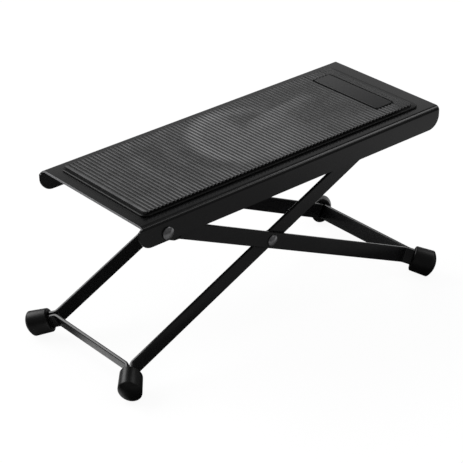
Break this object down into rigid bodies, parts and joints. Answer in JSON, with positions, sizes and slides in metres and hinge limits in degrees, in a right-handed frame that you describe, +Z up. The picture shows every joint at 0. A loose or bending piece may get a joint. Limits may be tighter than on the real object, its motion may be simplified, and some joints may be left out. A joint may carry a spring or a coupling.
{
  "type": "folding guitar footrest",
  "caption": "Folding metal footrest for a seated guitarist: ribbed rubber mat on a pressed platform, crossed flat-bar legs with rubber caps, and a notched rack for height.",
  "frame": {"origin": "on the floor, under the middle of the whole footrest as it stands open", "axes": "+Z up; +X along the footrest from the platform's low end, where it is riveted to the outer frame, to its high end; +Y away from the camera, so the near side is at -Y"},
  "size_m": [0.298, 0.1328, 0.1408],
  "materials": {
    "coated_steel": "black powder coat, satin",
    "plated_steel": "dark plated, satin",
    "mat_rubber": "moulded black rubber with a soft worn sheen on the ribs",
    "cap_rubber": "moulded black rubber, smooth"
  },
  "bodies": {
    "outer_frame": {"outer_frame": "coated_steel", "high_cap_near": "cap_rubber", "high_cap_far": "cap_rubber", "crossing_rivet_near": "plated_steel", "crossing_rivet_far": "plated_steel", "pivot_rivet_near": "plated_steel", "pivot_rivet_far": "plated_steel", "pivot_washer_near": "plated_steel", "pivot_washer_far": "plated_steel"},
    "inner_frame": {"inner_frame": "coated_steel", "support_rod": "plated_steel", "low_cap_near": "cap_rubber", "low_cap_far": "cap_rubber", "crossing_washer_near": "plated_steel", "crossing_washer_far": "plated_steel"},
    "platform": {"platform": "coated_steel", "mat": "mat_rubber", "rack_near": "coated_steel", "rack_far": "coated_steel"}
  },
  "joints": [
    {"name": "fold", "type": "hinge", "parent": "outer_frame", "child": "inner_frame", "pos_m": [-0.00926, 0, 0.07455], "axis": [0, -1, 0], "range_deg": [-49, 31.5]},
    {"name": "platform_pivot", "type": "hinge", "parent": "outer_frame", "child": "platform", "pos_m": [-0.10929, 0, 0.11709], "axis": [0, -1, 0], "range_deg": [-24.6, 15.8]}
  ],
  "couplings": [
    {"joint": "platform_pivot", "follows": "fold", "ratio": 0.5}
  ]
}
